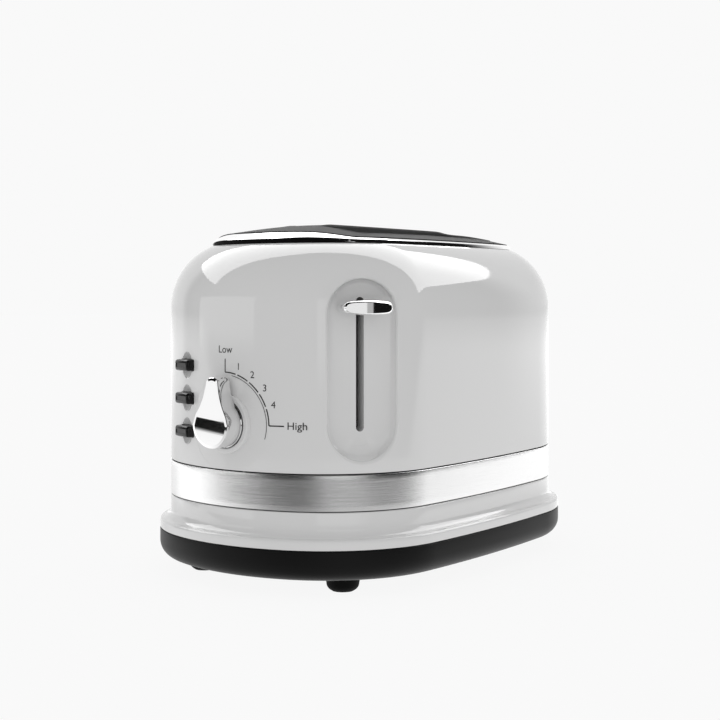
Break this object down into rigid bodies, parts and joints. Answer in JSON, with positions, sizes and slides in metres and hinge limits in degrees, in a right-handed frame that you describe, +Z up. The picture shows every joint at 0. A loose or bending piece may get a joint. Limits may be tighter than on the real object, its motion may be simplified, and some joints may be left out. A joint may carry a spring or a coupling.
{
  "type": "two-slice toaster",
  "caption": "Toaster with a bowed white shell, brushed band, chrome rim, corner lever on a sprung bread carriage, browning knob, push buttons and a slide-out crumb tray.",
  "frame": {"origin": "on the floor under the middle of the body", "axes": "+Z up, the control end faces -Y, +X to the right as seen from the control end"},
  "size_m": [0.1972, 0.3091, 0.2128],
  "materials": {
    "white_shell": "glossy",
    "brushed_band": "brushed along the band",
    "black_base": "fine satin",
    "rubber_foot": "matte",
    "bright_chrome": "polished",
    "satin_top": "satin grey",
    "black_button": "satin",
    "dark_plastic": "matte",
    "circuit_board": "matte",
    "pot_case": "matte",
    "bare_steel": "drawn",
    "plated_sheet": "plated",
    "tray_sheet": "rolled sheet",
    "mica": "flaked sheet",
    "heater_ribbon": "oxidised",
    "copper_winding": "enamelled wire",
    "terminal_plastic": "matte"
  },
  "bodies": {
    "housing": {"outer_shell": "white_shell", "lower_skirt": "white_shell", "dial_collar": "white_shell", "trim_band": "brushed_band", "base_tray": "black_base", "cord_gland": "black_base", "feet": "rubber_foot", "top_rim": "bright_chrome", "top_plate": "satin_top", "band_carrier": "dark_plastic", "switch_carrier": "dark_plastic", "push_switches": "dark_plastic", "control_board": "circuit_board", "potentiometer": "pot_case", "guide_rod": "bare_steel", "lift_spring": "bare_steel", "magnet_core": "bare_steel", "board_bracket": "bare_steel", "board_screws": "bare_steel", "chassis_screws": "bare_steel", "front_plate": "plated_sheet", "rear_plate": "plated_sheet", "left_reflector": "plated_sheet", "right_reflector": "plated_sheet", "left_heater_board": "mica", "middle_heater_board": "mica", "right_heater_board": "mica", "left_ribbon": "heater_ribbon", "middle_left_ribbon": "heater_ribbon", "middle_right_ribbon": "heater_ribbon", "right_ribbon": "heater_ribbon", "magnet_coil": "copper_winding", "terminal_block": "terminal_plastic"},
    "carriage": {"lever_grip": "bright_chrome", "lever_arm": "bare_steel", "carriage_bracket": "bare_steel", "slide_bush": "dark_plastic", "armature": "bare_steel", "left_rack": "bare_steel", "right_rack": "bare_steel"},
    "knob": {"browning_knob": "bright_chrome", "knob_shaft": "bare_steel"},
    "top_key": {"top_button": "black_button"},
    "middle_key": {"middle_button": "black_button"},
    "lower_key": {"lower_button": "black_button"},
    "left_outer": {"left_outer_guide": "bare_steel"},
    "left_inner": {"left_inner_guide": "bare_steel"},
    "right_inner": {"right_inner_guide": "bare_steel"},
    "right_outer": {"right_outer_guide": "bare_steel"},
    "tray": {"crumb_tray": "tray_sheet", "tray_door": "black_base"}
  },
  "joints": [
    {"name": "carriage_slide", "type": "slide", "parent": "housing", "child": "carriage", "axis": [0, 0, -1], "range_m": [0, 0.064], "stiffness_N_per_m": 100, "springref_m": -0.06, "deforming": ["lift_spring"]},
    {"name": "knob_turn", "type": "hinge", "parent": "housing", "child": "knob", "pos_m": [0, -0.14, 0.0957], "axis": [0, 1, 0], "range_deg": [0, 90]},
    {"name": "top_press", "type": "slide", "parent": "housing", "child": "top_key", "axis": [0.319, 0.9478, 0], "range_m": [0, 0.002], "stiffness_N_per_m": 800, "springref_m": -0.001},
    {"name": "middle_press", "type": "slide", "parent": "housing", "child": "middle_key", "axis": [0.319, 0.9478, 0], "range_m": [0, 0.002], "stiffness_N_per_m": 800, "springref_m": -0.001},
    {"name": "lower_press", "type": "slide", "parent": "housing", "child": "lower_key", "axis": [0.319, 0.9478, 0], "range_m": [0, 0.002], "stiffness_N_per_m": 800, "springref_m": -0.001},
    {"name": "left_outer_close", "type": "slide", "parent": "housing", "child": "left_outer", "axis": [1, 0, 0], "range_m": [0, 0.006]},
    {"name": "left_inner_close", "type": "slide", "parent": "housing", "child": "left_inner", "axis": [-1, 0, 0], "range_m": [0, 0.006]},
    {"name": "right_inner_close", "type": "slide", "parent": "housing", "child": "right_inner", "axis": [1, 0, 0], "range_m": [0, 0.006]},
    {"name": "right_outer_close", "type": "slide", "parent": "housing", "child": "right_outer", "axis": [-1, 0, 0], "range_m": [0, 0.006]},
    {"name": "tray_slide", "type": "slide", "parent": "housing", "child": "tray", "axis": [0, 1, 0], "range_m": [0, 0.23]}
  ],
  "couplings": [
    {"joint": "left_outer_close", "follows": "carriage_slide", "ratio": 0.09375},
    {"joint": "left_inner_close", "follows": "carriage_slide", "ratio": 0.09375},
    {"joint": "right_inner_close", "follows": "carriage_slide", "ratio": 0.09375},
    {"joint": "right_outer_close", "follows": "carriage_slide", "ratio": 0.09375}
  ]
}
